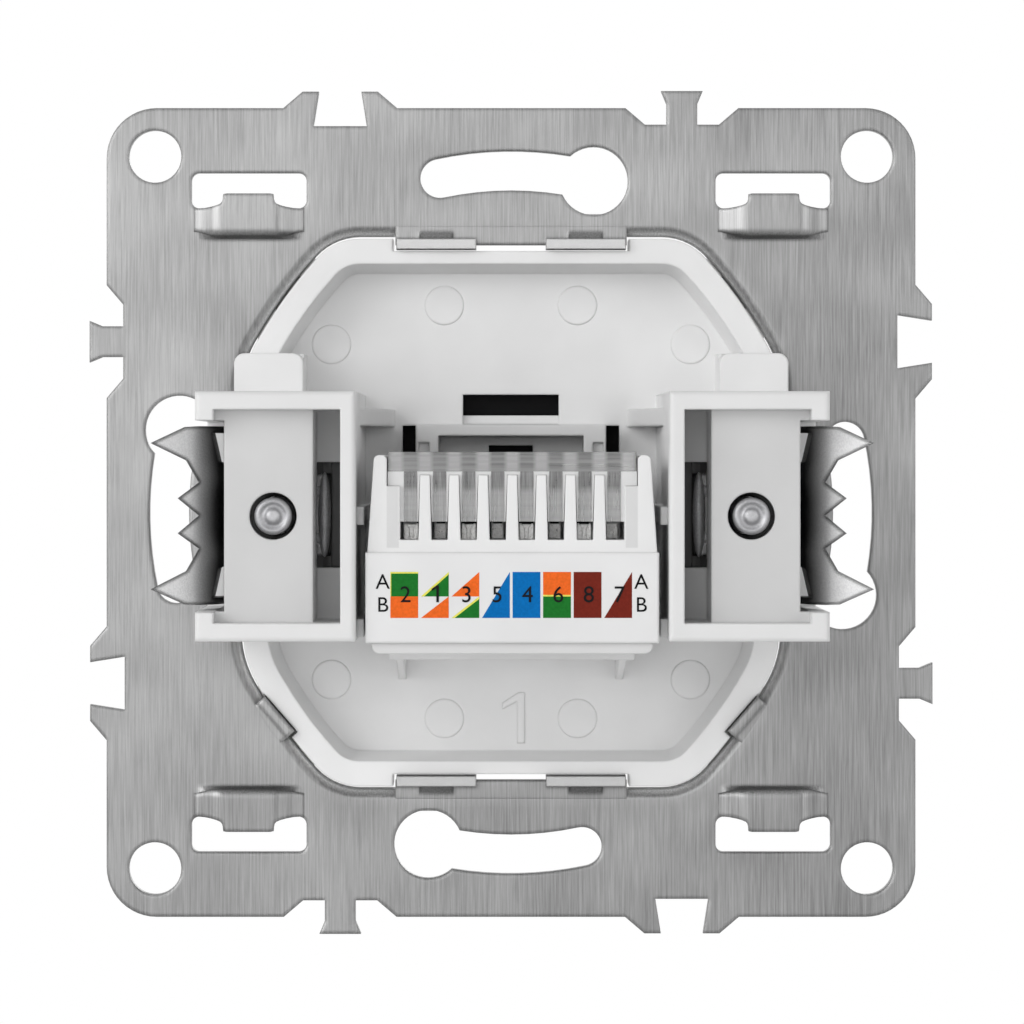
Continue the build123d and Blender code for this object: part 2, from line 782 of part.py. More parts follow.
with BuildPart() as wire_block:
    with BuildSketch(level(block_rear)):
        with Locations((0, (block_bottom + block_face_top) / 2)):
            Rectangle(2 * block_half_width, block_face_top - block_bottom)
    extrude(amount=-(block_front - block_rear))
    # Lip under the label face
    with BuildSketch(level(block_rear + lip_setback)):
        with Locations((0, block_bottom - lip_drop / 2)):
            Rectangle(2 * (block_half_width - lip_setback), lip_drop)
        fillet(vertices().group_by(Axis.Y)[0], lip_radius)
    extrude(amount=-(lip_front - block_rear - lip_setback))
    # Posts that are walls at the two ends, joined by the floor of the well
    with BuildSketch(level(post_rear)):
        Polygon(
            (-post_foot_half, block_face_top), (-post_top_half, post_top), (post_top_half, post_top),
            (post_foot_half, block_face_top), align=None,
        )
        with Locations((0, well_floor)):
            Rectangle(
                2 * post_inner_half, 2 * (post_top - well_floor), mode=Mode.SUBTRACT,
                align=(Align.CENTER, Align.MIN),
            )
        fillet(vertices().group_by(Axis.Y)[-1], post_top_radius)
    extrude(amount=-(well_front - post_rear))
    # Dividers between the wires
    with BuildSketch(level(post_rear)):
        with Locations(*[(x, well_floor) for x in divider_x]):
            Polygon(
                (-divider_foot / 2, -overlap), (-divider_foot / 2, 0),
                (-divider_top / 2, divider_top_z - well_floor),
                (divider_top / 2, divider_top_z - well_floor),
                (divider_foot / 2, 0), (divider_foot / 2, -overlap), align=None,
            )
        for side in (-1, 1):
            with Locations((side * (end_divider_inner + post_inner_half) / 2, well_floor - overlap)):
                Rectangle(
                    post_inner_half - end_divider_inner + 2 * overlap,
                    end_divider_top_z - well_floor + overlap, align=(Align.CENTER, Align.MIN),
                )
    extrude(amount=-(well_front - post_rear))
    # Slots for the contacts and the circuit board
    for x, y in zip(wire_x, contact_y):
        half = contact_width / 2 + contact_clearance
        thick = contact_thickness / 2 + contact_clearance
        block((x - half, x + half), (y - thick, y + thick), (board_bottom, well_floor), Mode.SUBTRACT)
    slot_half = board_wide_half + board_slot_clearance
    block(
        (-slot_half, slot_half), (board_rear - board_slot_clearance, block_front),
        (board_bottom - board_slot_clearance, board_top + board_slot_clearance), Mode.SUBTRACT,
    )
finish(wire_block.part, "wire_block")

with BuildPart() as wiring_label:
    with BuildSketch(level(block_rear)):
        with Locations((0, (block_bottom + block_face_top) / 2)):
            Rectangle(
                2 * (block_half_width - label_margin),
                block_face_top - block_bottom - 2 * label_margin,
            )
    extrude(amount=label_thickness)
finish(wiring_label.part, "wiring_label")

for index, (x, y) in enumerate(zip(wire_x, contact_y), start=1):
    with BuildPart() as wire_contact:
        with BuildSketch(level(y)):
            blade_bottom = board_top + board_slot_clearance
            with Locations((x, blade_bottom)):
                Rectangle(
                    contact_width, contact_top - blade_bottom, align=(Align.CENTER, Align.MIN)
                )
                Rectangle(
                    contact_pin, board_thickness + board_slot_clearance,
                    align=(Align.CENTER, Align.MAX),
                )
            with Locations((x, contact_top)):
                Rectangle(
                    contact_slit, contact_slit_depth, align=(Align.CENTER, Align.MAX),
                    mode=Mode.SUBTRACT,
                )
                Polygon(
                    (-contact_mouth / 2, 0), (contact_mouth / 2, 0), (0, -contact_mouth_depth),
                    align=None, mode=Mode.SUBTRACT,
                )
        extrude(amount=contact_thickness / 2, both=True)
    finish(wire_contact.part, f"wire_contact_{index}")


# Clear cap with one finger over each wire
cap_rear = post_rear + cap_setback
cap_front = well_front - cap_setback
with BuildPart() as wire_cap:
    with BuildSketch(level(cap_rear)):
        with Locations((0, (cap_bar_bottom + cap_bar_top) / 2)):
            Rectangle(2 * (post_inner_half - cap_side_clearance), cap_bar_top - cap_bar_bottom)
        with Locations(*[(x, cap_finger_bottom) for x in wire_x]):
            Rectangle(
                cap_finger_width, cap_bar_bottom - cap_finger_bottom + overlap,
                align=(Align.CENTER, Align.MIN),
            )
    extrude(amount=-(cap_front - cap_rear))
finish(wire_cap.part, "wire_cap")


# Circuit board with holes for both rows of pins
spring_x = [spring_pitch * (index - (spring_count - 1) / 2) for index in range(spring_count)]
spring_pin_y = [spring_rear_y + spring_pin_step * (index % 2) for index in range(spring_count)]
with BuildPart() as circuit_board:
    with BuildSketch(Plane.XY.offset(board_top)):
        with Locations((0, board_rear)):
            Rectangle(
                2 * board_half_width, board_front - board_rear, align=(Align.CENTER, Align.MIN)
            )
            Rectangle(
                2 * board_wide_half, board_shoulder_y - board_rear, align=(Align.CENTER, Align.MIN)
            )
        with Locations(*zip(wire_x, contact_y)):
            Rectangle(board_hole_width, board_hole_width, mode=Mode.SUBTRACT)
        with Locations(*zip(spring_x, spring_pin_y)):
            Rectangle(board_hole_width, board_hole_width, mode=Mode.SUBTRACT)
    extrude(amount=-board_thickness)
finish(circuit_board.part, "circuit_board")


# Jack body with its flange, port and slots for the springs
with BuildPart() as jack_body:
    block(
        (-jack_half_width, jack_half_width), (jack_rear, jack_front), (jack_bottom, jack_top)
    )
    block(
        (-flange_half_width, flange_half_width),
        (housing_front + flange_gap, housing_front + flange_gap + flange_thickness),
        (flange_bottom, flange_top),
    )
    with BuildSketch(level(jack_front)):
        with Locations((0, port_floor)):
            Rectangle(port_width, port_height, align=(Align.CENTER, Align.MIN))
    extrude(amount=port_depth, mode=Mode.SUBTRACT)
    with BuildSketch(level(jack_front)):
        with Locations((0, port_top)):
            Rectangle(latch_width, latch_height, align=(Align.CENTER, Align.MIN))
    extrude(amount=latch_depth, mode=Mode.SUBTRACT)
    for x, pin_y in zip(spring_x, spring_pin_y):
        half = spring_slot_width / 2
        block(
            (x - half, x + half), (pin_y - half, spring_front_y + spring_wire),
            (port_floor - spring_slot_depth, port_floor), Mode.SUBTRACT,
        )
        block(
            (x - half, x + half), (pin_y - half, pin_y + half), (jack_bottom, port_floor),
            Mode.SUBTRACT,
        )
finish(jack_body.part, "jack_body")

for index, (x, pin_y) in enumerate(zip(spring_x, spring_pin_y), start=1):
    with BuildPart() as spring:
        with BuildSketch(Plane.YZ.offset(x)):
            with BuildLine():
                Polyline(
                    (pin_y, spring_run_z), (spring_front_y - spring_bend, spring_run_z),
                    (spring_front_y, spring_run_z + spring_bend), spring_tip,
                )
            trace(line_width=spring_wire)
            with Locations((pin_y, board_bottom - spring_pin_reach)):
                Rectangle(
                    spring_wire, spring_run_z + spring_wire / 2 - board_bottom + spring_pin_reach,
                    align=(Align.CENTER, Align.MIN),
                )
        extrude(amount=spring_wire / 2, both=True)
    finish(spring.part, f"jack_spring_{index}")


# Front cover with the port window and two spring legs
cover_rear = housing_front + cover_gap
with BuildPart() as front_cover:
    with BuildSketch(level(cover_rear)):
        RectangleRounded(cover_size, cover_size, cover_corner_radius)
    extrude(amount=-(cover_front - cover_rear))
    chamfer(front_cover.faces().sort_by(Axis.Y)[-1].edges(), cover_edge_chamfer)
    with BuildSketch(level(cover_rear)):
        inner = cover_size - 2 * cover_wall
        RectangleRounded(inner, inner, cover_corner_radius / 2)
    extrude(amount=-(cover_front - cover_wall - cover_rear), mode=Mode.SUBTRACT)
    with BuildSketch(level(cover_front)):
        with Locations((0, port_floor - cover_port_margin)):
            Rectangle(
                port_width + 2 * cover_port_margin, port_height + 2 * cover_port_margin,
                align=(Align.CENTER, Align.MIN),
            )
        with Locations((0, port_top)):
            Rectangle(
                latch_width + 2 * cover_port_margin, latch_height + cover_port_margin,
                align=(Align.CENTER, Align.MIN),
            )
    extrude(amount=2 * cover_wall, mode=Mode.SUBTRACT)
    for side in (-1, 1):
        leg_inner = access_inner_x + cover_leg_clearance
        block(
            span(side, leg_inner, leg_inner + cover_leg_thickness),
            (cover_leg_rear, cover_front - cover_wall), (-cover_leg_half, cover_leg_half),
        )
finish(front_cover.part, "front_cover")
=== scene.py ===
import json
from math import cos, radians, sin

import bmesh
import bpy
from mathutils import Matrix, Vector
from mathutils.geometry import convex_hull_2d


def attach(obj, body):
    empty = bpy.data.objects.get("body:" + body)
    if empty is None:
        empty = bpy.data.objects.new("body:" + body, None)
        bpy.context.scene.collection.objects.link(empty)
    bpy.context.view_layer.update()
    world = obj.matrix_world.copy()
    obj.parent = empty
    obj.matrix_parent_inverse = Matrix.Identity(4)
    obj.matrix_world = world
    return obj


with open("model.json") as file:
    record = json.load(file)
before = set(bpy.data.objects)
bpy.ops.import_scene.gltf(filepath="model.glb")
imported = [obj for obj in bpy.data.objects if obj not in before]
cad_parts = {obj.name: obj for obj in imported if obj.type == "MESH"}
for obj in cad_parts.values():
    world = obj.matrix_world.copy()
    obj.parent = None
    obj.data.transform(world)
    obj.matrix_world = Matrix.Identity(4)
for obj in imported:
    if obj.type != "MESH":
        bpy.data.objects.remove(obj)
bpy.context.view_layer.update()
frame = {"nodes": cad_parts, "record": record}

MM = 0.001
SIDES = (-1, 1)
REARWARD = (radians(90), 0, 0)
nodes = frame["nodes"]

# Camera, straight behind the socket
CAMERA_SPOT = (-1.67, -420.0, 5.05)
LENS = 168.2
SHIFT = (0.0195, -0.0557)

# Places on the solids, in millimetres
WIRE_COUNT = 8
WIRE_PITCH = 2.4
HOUSING_FLOOR = 4.0
LABEL_Y = -26.12


def mm(*values):
    """A point given in millimetres, as a vector in metres."""
    return Vector(values) * MM


def wire_x(index):
    """Middle of a wire's place, counted from the left."""
    return WIRE_PITCH * (index - (WIRE_COUNT - 1) / 2)


# Material nodes
BEVEL_SAMPLES = 6
NOISE_SPAN = (0.3, 0.7)
EVEN = (1, 1, 1)
BRUSHED_UP = (1, 1, 0.025)
BRUSHED_ACROSS = (0.2, 0.2, 1)
MOTTLE_SCALE = 160.0
CLOUD_SCALE = 90.0
CLOUD_SHARE = 0.35
BLEND_SPAN = (0.35, 0.65)
EDGE_FACING = (0.985, 0.93)


def shader_of(material):
    return material.node_tree.nodes["Principled BSDF"]


def new_material(name, color, roughness, metallic=0.0, **sockets):
    """Principled material with even values on the shader's own sockets."""
    material = bpy.data.materials.new(name)
    material.use_nodes = True
    shader = shader_of(material)
    shader.inputs["Base Color"].default_value = (*color, 1)
    shader.inputs["Roughness"].default_value = roughness
    shader.inputs["Metallic"].default_value = metallic
    for socket, value in sockets.items():
        shader.inputs[socket.replace("_", " ")].default_value = value
    return material


def add_noise(material, scale, stretch=EVEN, detail=2.0, roughness=0.5):
    """Noise in the piece's own coordinates. Scale is in cells per metre."""
    tree = material.node_tree
    place = tree.nodes.new("ShaderNodeTexCoord")
    mapping = tree.nodes.new("ShaderNodeMapping")
    mapping.inputs["Scale"].default_value = stretch
    noise = tree.nodes.new("ShaderNodeTexNoise")
    noise.inputs["Scale"].default_value = scale
    noise.inputs["Detail"].default_value = detail
    noise.inputs["Roughness"].default_value = roughness
    tree.links.new(place.outputs["Object"], mapping.inputs["Vector"])
    tree.links.new(mapping.outputs["Vector"], noise.inputs["Vector"])
    return noise.outputs["Fac"]


def remap(material, value, low, high, to_low=0.0, to_high=1.0):
    """Linear change of range, clamped."""
    tree = material.node_tree
    node = tree.nodes.new("ShaderNodeMapRange")
    tree.links.new(value, node.inputs["Value"])
    node.inputs["From Min"].default_value = low
    node.inputs["From Max"].default_value = high
    node.inputs["To Min"].default_value = to_low
    node.inputs["To Max"].default_value = to_high
    return node.outputs["Result"]


def fade(material, place, start, end, to_start=0.0, to_end=1.0):
    """Change of a value along a coordinate, between two places in millimetres."""
    return remap(material, place, start * MM, end * MM, to_start, to_end)


def calculate(material, operation, *values):
    """One arithmetic node. Each value is a number or another node's output."""
    tree = material.node_tree
    node = tree.nodes.new("ShaderNodeMath")
    node.operation = operation
    for socket, value in zip(node.inputs, values):
        if isinstance(value, (int, float)):
            socket.default_value = value
        else:
            tree.links.new(value, socket)
    return node.outputs[0]


def split(material, vector):
    """X, Y and Z values of a vector."""
    tree = material.node_tree
    parts = tree.nodes.new("ShaderNodeSeparateXYZ")
    tree.links.new(vector, parts.inputs["Vector"])
    return [parts.outputs[axis] for axis in "XYZ"]


def coordinates(material):
    """X, Y and Z values of the piece's own coordinates, in metres."""
    place = material.node_tree.nodes.new("ShaderNodeTexCoord")
    return split(material, place.outputs["Object"])


def vary(material, socket, value):
    material.node_tree.links.new(value, shader_of(material).inputs[socket])


def vary_color(material, value, dark, light):
    """Base colour between two tones, driven by a value."""
    tree = material.node_tree
    mix = tree.nodes.new("ShaderNodeMix")
    mix.data_type = "RGBA"
    mix.inputs["A"].default_value = (*dark, 1)
    mix.inputs["B"].default_value = (*light, 1)
    tree.links.new(value, mix.inputs["Factor"])
    tree.links.new(mix.outputs["Result"], shader_of(material).inputs["Base Color"])


def vary_tone(material, value, color, tone):
    """Base colour from a share darker to a share lighter than a colour."""
    darker = [channel * (1 - tone) for channel in color]
    lighter = [min(1, channel * (1 + tone)) for channel in color]
    vary_color(material, value, darker, lighter)


def add_relief(material, height, depth, edge):
    """Bump from a height value, on edges that are softened by a small radius, in metres."""
    tree = material.node_tree
    bevel = tree.nodes.new("ShaderNodeBevel")
    bevel.samples = BEVEL_SAMPLES
    bevel.inputs["Radius"].default_value = edge
    bump = tree.nodes.new("ShaderNodeBump")
    bump.inputs["Strength"].default_value = 1.0
    bump.inputs["Distance"].default_value = depth
    tree.links.new(height, bump.inputs["Height"])
    tree.links.new(bevel.outputs["Normal"], bump.inputs["Normal"])
    tree.links.new(bump.outputs["Normal"], shader_of(material).inputs["Normal"])


def tint_by(material, value):
    """Multiply the base colour by a value."""
    tree = material.node_tree
    shader = shader_of(material)
    scale = tree.nodes.new("ShaderNodeVectorMath")
    scale.operation = "SCALE"
    tree.links.new(shader.inputs["Base Color"].links[0].from_socket, scale.inputs[0])
    tree.links.new(value, scale.inputs["Scale"])
    tree.links.new(scale.outputs["Vector"], shader.inputs["Base Color"])


def tint_color(material, mask, tint):
    """Multiply the base colour by a tint where a mask is 1."""
    tint_by(material, remap(material, mask, 0.0, 1.0, 1.0, tint))


def tint_zone(material, tint, x, y, z, edge=0.1):
    """Tint a box on both sides of the middle. Ranges in millimetres, X and Z as distances."""
    mask = None
    for axis, value, (low, high) in zip("XYZ", coordinates(material), (x, y, z)):
        if axis != "Y":
            value = calculate(material, "ABSOLUTE", value)
        rise = fade(material, value, low - edge, low)
        fall = fade(material, value, high, high + edge, 1.0, 0.0)
        both = calculate(material, "MULTIPLY", rise, fall)
        mask = both if mask is None else calculate(material, "MULTIPLY", mask, both)
    tint_color(material, mask, tint)


def edge_mask(material, radius):
    """1 along sharp edges, within a radius in metres, and 0 on flat faces."""
    tree = material.node_tree
    bevel = tree.nodes.new("ShaderNodeBevel")
    bevel.samples = BEVEL_SAMPLES
    bevel.inputs["Radius"].default_value = radius
    geometry = tree.nodes.new("ShaderNodeNewGeometry")
    compare = tree.nodes.new("ShaderNodeVectorMath")
    compare.operation = "DOT_PRODUCT"
    tree.links.new(bevel.outputs["Normal"], compare.inputs[0])
    tree.links.new(geometry.outputs["Normal"], compare.inputs[1])
    return remap(material, compare.outputs["Value"], *EDGE_FACING)


def plastic(name, color, roughness, grain=5200.0, depth=0.000004, edge=0.00015, tone=0.03):
    """Moulded plastic with a faint grain, a soft mottle and slightly soft edges."""
    material = new_material(name, color, roughness)
    mottle = remap(material, add_noise(material, MOTTLE_SCALE), *NOISE_SPAN)
    vary_tone(material, mottle, color, tone)
    fine = add_noise(material, grain)
    gloss = remap(material, fine, *NOISE_SPAN, roughness - 0.05, roughness + 0.06)
    vary(material, "Roughness", gloss)
    add_relief(material, fine, depth, edge)
    return material


def metal(name, color, roughness, scale, depth, tone, stretch=EVEN, edge=0.00012, metallic=1.0):
    """Metal with fine marks, which a stretch draws out along one direction."""
    material = new_material(name, color, roughness, metallic)
    marks = add_noise(material, scale, stretch, detail=4.0, roughness=0.65)
    cloud = add_noise(material, CLOUD_SCALE)
    tree = material.node_tree
    blend = tree.nodes.new("ShaderNodeMix")
    blend.inputs["Factor"].default_value = CLOUD_SHARE
    tree.links.new(marks, blend.inputs["A"])
    tree.links.new(cloud, blend.inputs["B"])
    vary_tone(material, remap(material, blend.outputs["Result"], *BLEND_SPAN), color, tone)
    gloss = remap(material, marks, *NOISE_SPAN, roughness - 0.06, roughness + 0.08)
    vary(material, "Roughness", gloss)
    add_relief(material, marks, depth, edge)
    return material


# Metals
FRAME_SHEET = dict(
    color=(0.24, 0.24, 0.24), roughness=0.34, scale=6500.0, depth=0.000008, tone=0.34,
    stretch=BRUSHED_UP,
)
steel = metal("frame_steel", **FRAME_SHEET, edge=0.0005)
screw_steel = metal(
    "screw_steel", (0.36, 0.36, 0.37), 0.4, scale=6000.0, depth=0.00002, tone=0.16, edge=0.0004,
)
sheared_steel = metal(
    "sheared_steel", (0.42, 0.42, 0.42), 0.34, scale=7000.0, depth=0.00003, tone=0.2,
)
nose_steel = metal(
    "nose_steel", (0.6, 0.6, 0.61), 0.35, scale=6000.0, depth=0.00005, tone=0.16, metallic=0.3,
)
contact_metal = metal(
    "contact_metal", (0.86, 0.85, 0.82), 0.32, scale=3500.0, depth=0.00004, tone=0.3,
    metallic=0.6,
)
spring_metal = metal(
    "spring_metal", (0.75, 0.56, 0.25), 0.22, scale=5000.0, depth=0.000002, tone=0.08,
    stretch=BRUSHED_ACROSS,
)

# Claws with bright teeth, painted shade in the valley and, less deep, beside the nose, and
# painted shade along the cut edges. Ranges go out from the middle
TEETH_RANGE = (24.5, 26.6)
DULL_RANGE = (24.8, 26.8)
NOSE_RANGE = (18.0, 20.0)
VALLEY_SHADE = 0.05
NOSE_SHADE = 0.4
CLAW_EDGE = 0.0006
CLAW_EDGE_SHADE = 0.16
claw_steel = metal(
    "claw_steel", (0.93, 0.93, 0.94), 0.4, scale=6000.0, depth=0.00006, tone=0.16, edge=0.0004,
)
away = calculate(claw_steel, "ABSOLUTE", coordinates(claw_steel)[0])
# Painted shade in the valley under the slab, fading out towards the teeth, and lighter painted
# shade beside the nose
valley_shade = fade(claw_steel, away, *TEETH_RANGE, VALLEY_SHADE, 1.0)
nose_shade = fade(claw_steel, away, *NOSE_RANGE, NOSE_SHADE, 0.0)
tint_by(claw_steel, calculate(claw_steel, "MAXIMUM", valley_shade, nose_shade))
# Painted shade along the cut edges
tint_color(claw_steel, edge_mask(claw_steel, CLAW_EDGE), CLAW_EDGE_SHADE)
vary(claw_steel, "Metallic", fade(claw_steel, away, *DULL_RANGE, 0.9, 0.12))

# Collar sheet, with painted light that makes it lighter where it turns away from the rear, and
# duller there
TURNED_RANGE = (-0.97, -0.5)
TURNED_LIGHT = 2.9
TURNED_METALLIC = 0.3
collar_steel = metal("collar_steel", **FRAME_SHEET, edge=0.0)
facing = collar_steel.node_tree.nodes.new("ShaderNodeNewGeometry")
turned = remap(collar_steel, split(collar_steel, facing.outputs["Normal"])[1], *TURNED_RANGE)
# Painted light on the turned part of the roll
tint_color(collar_steel, turned, TURNED_LIGHT)
vary(collar_steel, "Metallic", remap(collar_steel, turned, 0.0, 1.0, 1.0, TURNED_METALLIC))

# Plastics. A range of X or Z that starts below 0 reaches over the middle
OVER_MIDDLE = -1.0
# Tints on the housing: painted shade on the slabs recessed in the towers, in the screw holes and
# in the windows beside the noses, and a darker tone on the towers' rear faces
HOUSING_TONE_AND_SHADE_ZONES = (
    (0.89, (12.8, 26.3), (-27.2, -26.2), (OVER_MIDDLE, 10.5)),   # rear faces of the towers
    (0.72, (14.2, 24.6), (-25.1, -22.8), (OVER_MIDDLE, 8.9)),    # slabs in the towers
    (0.5, (17.4, 21.9), (-24.75, -22.7), (OVER_MIDDLE, 2.2)),    # screw holes
    (0.12, (13.0, 17.05), (-16.4, -8.0), (OVER_MIDDLE, 5.3)),    # windows beside the noses
)
# Tints on the wire block: painted shade on the end walls, standing in for a recess beside the
# posts, and a darker tone on the lip
BLOCK_TONE_AND_SHADE_ZONES = (
    (0.84, (9.4, 10.3), (-26.0, -8.0), (OVER_MIDDLE, 2.55)),     # end walls
    (0.84, (OVER_MIDDLE, 13.0), (-27.0, -8.0), (10.5, 12.0)),    # lip
)
white_plastic = plastic("housing_plastic", (0.80, 0.80, 0.80), 0.45, edge=0.0003)
for zone in HOUSING_TONE_AND_SHADE_ZONES:
    tint_zone(white_plastic, *zone)
block_plastic = plastic(
    "block_plastic", (0.755, 0.755, 0.755), 0.38, depth=0.000002, edge=0.0002,
)
for zone in BLOCK_TONE_AND_SHADE_ZONES:
    tint_zone(block_plastic, *zone)
cover_plastic = plastic(
    "cover_plastic", (0.84, 0.84, 0.82), 0.2, depth=0.000001, tone=0.012,
)
jack_plastic = plastic("jack_plastic", (0.006, 0.006, 0.0065), 0.5, depth=0.000003)
shader_of(jack_plastic).inputs["Specular IOR Level"].default_value = 0.05
label_paper = plastic(
    "label_paper", (0.735, 0.735, 0.738), 0.5, grain=9000.0, depth=0.000001, edge=0.00005,
)
laminate = plastic(
    "board_laminate", (0.03, 0.16, 0.07), 0.3, grain=7000.0, depth=0.000002, tone=0.12,
)

# Hazy clear plastic, with fine ridges along its bar and streaks of painted shade on its fingers
CAP_CLEAR = (0.86, 0.86, 0.86)
CAP_IOR = 1.45
CAP_TONE_AND_SHADE = ((0.80, 0.80, 0.80), (0.32, 0.32, 0.32))
SHADE_START = (1.9, 2.5)
BAR_START = (3.55, 3.75)
FINGER_START = (0.35, 0.75)
clear_plastic = new_material(
    "clear_plastic", CAP_CLEAR, 0.2, IOR=CAP_IOR, Transmission_Weight=0.6,
)
across, _, upward = coordinates(clear_plastic)
ridges = add_noise(clear_plastic, 3000.0, (0.015, 0.015, 1.0))
streaks = add_noise(clear_plastic, 4500.0, (1.0, 0.1, 0.06))
from_divider = calculate(clear_plastic, "PINGPONG", across, WIRE_PITCH / 2 * MM)
on_finger = fade(clear_plastic, from_divider, *FINGER_START)
in_shade = fade(clear_plastic, upward, *SHADE_START)
in_bar = fade(clear_plastic, upward, *BAR_START)
below_bar = calculate(clear_plastic, "SUBTRACT", 1.0, in_bar)
marks = calculate(
    clear_plastic, "ADD", calculate(clear_plastic, "MULTIPLY", in_bar, ridges),
    calculate(clear_plastic, "MULTIPLY", below_bar, streaks),
)
# Painted shade on the upper part of each finger, streaked by the marks
shade = calculate(
    clear_plastic, "MULTIPLY", calculate(clear_plastic, "MULTIPLY", on_finger, in_shade),
    remap(clear_plastic, marks, 0.35, 0.6, 0.5, 1.0),
)
vary_color(clear_plastic, shade, *CAP_TONE_AND_SHADE)
tint_by(clear_plastic, remap(clear_plastic, ridges, 0.35, 0.65, 0.86, 1.0))
vary(clear_plastic, "Roughness", remap(clear_plastic, marks, *NOISE_SPAN, 0.12, 0.3))
add_relief(clear_plastic, marks, 0.00006, 0.00015)

# Lighter copy of the clear plastic, a painted highlight on the moulded edges of the clear cap
highlight_plastic = new_material(
    "highlight_plastic", CAP_CLEAR, 0.3, IOR=CAP_IOR, Transmission_Weight=0.25,
)

SLOT_MATERIALS = {
    "frame_steel": steel, "claw_steel": claw_steel, "screw_steel": screw_steel,
    "contact_metal": contact_metal, "spring_metal": spring_metal,
    "housing_plastic": white_plastic, "block_plastic": block_plastic,
    "cover_plastic": cover_plastic, "jack_plastic": jack_plastic, "label_paper": label_paper,
    "board_laminate": laminate, "clear_plastic": clear_plastic,
}
for subpart in frame["record"]["subparts"]:
    node = nodes[subpart["node"]]
    node.data.materials.clear()
    node.data.materials.append(SLOT_MATERIALS[subpart["material_slot"]])


# Pieces
SMOOTH_BELOW = radians(40)


def mesh_of(name, form, material):
    """Mesh with one material from a bmesh, which is freed."""
    mesh = bpy.data.meshes.new(name)
    form.to_mesh(mesh)
    form.free()
    mesh.materials.append(material)
    return mesh


def place_piece(name, data, body, spot=(0, 0, 0), turn=(0, 0, 0), scale=EVEN):
    """Object that rides on a body, with its spot in millimetres."""
    piece = bpy.data.objects.new(name, data)
    piece.location = mm(*spot)
    piece.rotation_euler = turn
    piece.scale = scale
    bpy.context.scene.collection.objects.link(piece)
    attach(piece, body)


def add_piece(name, form, material, body):
    """Piece from a bmesh in place, smooth except at sharp edges."""
    bmesh.ops.recalc_face_normals(form, faces=form.faces)
    for face in form.faces:
        face.smooth = True
    for edge in form.edges:
        edge.smooth = len(edge.link_faces) == 2 and edge.calc_face_angle() < SMOOTH_BELOW
    place_piece(name, mesh_of(name, form, material), body)


def add_plates(name, outlines, rear, front, material, body, slot):
    """One piece from flat outlines of (x, z) points between two depths, in millimetres."""
    form = bmesh.new()
    for outline in outlines:
        loops = [[form.verts.new(mm(x, y, z)) for x, z in outline] for y in (rear, front)]
        for loop in loops:
            form.faces.new(loop)
        for index in range(len(outline)):
            form.faces.new((
                loops[0][index - 1], loops[0][index], loops[1][index], loops[1][index - 1],
            ))
    add_piece(name, form, material, body)


def rectangle(left, right, low, high):
    return [(left, low), (right, low), (right, high), (left, high)]


def lower_right(left, right, low, high):
    return [(left, low), (right, low), (right, high)]


def figure_one(middle, foot, height):
    """Outline of an upright 1 with a slanted flag."""
    shares = (
        (0.04, 0), (0.15, 0), (0.15, 0.73), (0.06, 0.73), (-0.17, 0.58), (-0.17, 0.48),
        (0.04, 0.6),
    )
    return [(middle + x * height, foot + z * height) for x, z in shares]


# Print on the label. A print's layer counts how many rises its rear face stands off
PRINT_RISE = 0.012
FIELD_LAYER = 1
LINE_LAYER = 2
LETTER_LAYER = 2
DIGIT_LAYER = 4
CELL_LEFT = -10.04
CELL_PITCH = 2.515
CELL_WIDTH = 2.29
CELL_TOP = -4.58
CELL_MIDDLE = -6.6
CELL_BOTTOM = -8.37
UPPER = (CELL_MIDDLE, CELL_TOP)
LOWER = (CELL_BOTTOM, CELL_MIDDLE)
WHOLE = (CELL_BOTTOM, CELL_TOP)
YELLOW_LINE = 0.13
DIGITS = "21354687"
DIGIT_SIZE = 1.9
DIGIT_FOOT = -7.07
DIGIT_SHIFT = 0.1
ONE_SHIFT = 0.05
ROW_LETTERS = (("A", -5.97), ("B", -7.86))
ROW_LETTER_X = (("left", -10.67), ("right", 10.62))
ROW_LETTER_SIZE = 1.75


def ink(name, color):
    """Printed ink with the faint unevenness of a small press."""
    material = new_material(name, color, 0.6, Specular_IOR_Level=0.08)
    spread = remap(material, add_noise(material, 5000.0), *NOISE_SPAN)
    vary_tone(material, spread, color, tone=0.1)
    return material


def printed_field(name, points, material, layer):
    """Flat coloured polygon on the label, from (x, z) points in millimetres."""
    add_plates(
        name, [points], LABEL_Y - layer * PRINT_RISE, LABEL_Y, material, "socket", "label_paper",
    )


def printed_character(name, text, x, foot, size, layer):
    """Plain upright character on the label."""
    curve = bpy.data.curves.new(name, "FONT")
    curve.body = text
    curve.size = size * MM
    curve.align_x = "CENTER"
    curve.extrude = PRINT_RISE * MM
    curve.materials.append(BLACK)
    spot = (x, LABEL_Y - (layer - 1) * PRINT_RISE, foot)
    place_piece(name, curve, "socket", spot, REARWARD)


def cell(index):
    left = CELL_LEFT + CELL_PITCH * index
    return left, left + CELL_WIDTH


GREEN = ink("ink_green", (0.011, 0.156, 0.021))
ORANGE = ink("ink_orange", (0.80, 0.135, 0.018))
BLUE = ink("ink_blue", (0.0006, 0.141, 0.43))
BROWN = ink("ink_brown", (0.16, 0.018, 0.010))
YELLOW = ink("ink_yellow", (0.76, 0.73, 0.12))
BLACK = ink("ink_black", (0.008, 0.008, 0.009))

COLOR_CODE = (
    (rectangle, ((GREEN, UPPER), (ORANGE, LOWER))),
    (lower_right, ((GREEN, UPPER), (ORANGE, LOWER))),
    (lower_right, ((ORANGE, UPPER), (GREEN, LOWER))),
    (lower_right, ((BLUE, WHOLE),)),
    (rectangle, ((BLUE, WHOLE),)),
    (rectangle, ((ORANGE, UPPER), (GREEN, LOWER))),
    (rectangle, ((BROWN, WHOLE),)),
    (lower_right, ((BROWN, WHOLE),)),
)
for index, (shape, rows) in enumerate(COLOR_CODE):
    for row, (color, span) in enumerate(rows):
        outline = shape(*cell(index), *span)
        printed_field(f"code_{index}_{row}", outline, color, FIELD_LAYER)

